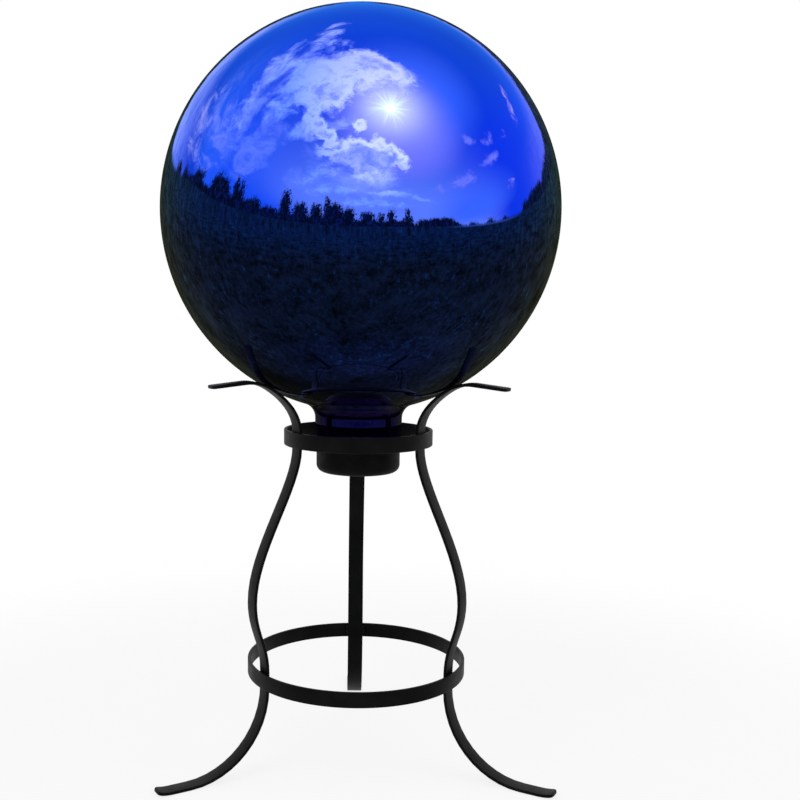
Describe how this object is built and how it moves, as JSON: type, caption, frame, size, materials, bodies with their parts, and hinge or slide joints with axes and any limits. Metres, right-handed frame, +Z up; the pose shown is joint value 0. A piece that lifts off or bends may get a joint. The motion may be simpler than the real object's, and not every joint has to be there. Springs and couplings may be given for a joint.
{
  "type": "garden gazing ball",
  "caption": "Mirrored blue glass gazing ball with a stoppered neck, resting on the curled leg tops of a welded stand of black flat steel bar.",
  "frame": {"origin": "on the globe's upright axis, on the ground between the feet", "axes": "+Z up; +Y towards the back leg, away from the viewer in the picture; +X to the picture's right"},
  "size_m": [0.254, 0.2698, 0.4866],
  "materials": {
    "mirrored_glass": "clear glass, silvered deep blue on the inside",
    "stopper_rubber": "matt moulded",
    "coated_steel": "satin black powder coat"
  },
  "bodies": {
    "stand": {"top_ring": "coated_steel", "bottom_ring": "coated_steel", "leg_back": "coated_steel", "leg_front_left": "coated_steel", "leg_front_right": "coated_steel", "weld_top_back_a": "coated_steel", "weld_top_back_b": "coated_steel", "weld_top_front_left_a": "coated_steel", "weld_top_front_left_b": "coated_steel", "weld_top_front_right_a": "coated_steel", "weld_top_front_right_b": "coated_steel", "weld_bottom_back_a": "coated_steel", "weld_bottom_back_b": "coated_steel", "weld_bottom_front_left_a": "coated_steel", "weld_bottom_front_left_b": "coated_steel", "weld_bottom_front_right_a": "coated_steel", "weld_bottom_front_right_b": "coated_steel"},
    "globe": {"glass_globe": "mirrored_glass"},
    "stopper": {"neck_stopper": "stopper_rubber"}
  },
  "joints": [
    {"name": "globe_lift", "type": "slide", "parent": "stand", "child": "globe", "axis": [0, 0, 1], "range_m": [0, 0.1]},
    {"name": "stopper_pull", "type": "slide", "parent": "globe", "child": "stopper", "axis": [0, 0, -1], "range_m": [0, 0.03]}
  ]
}
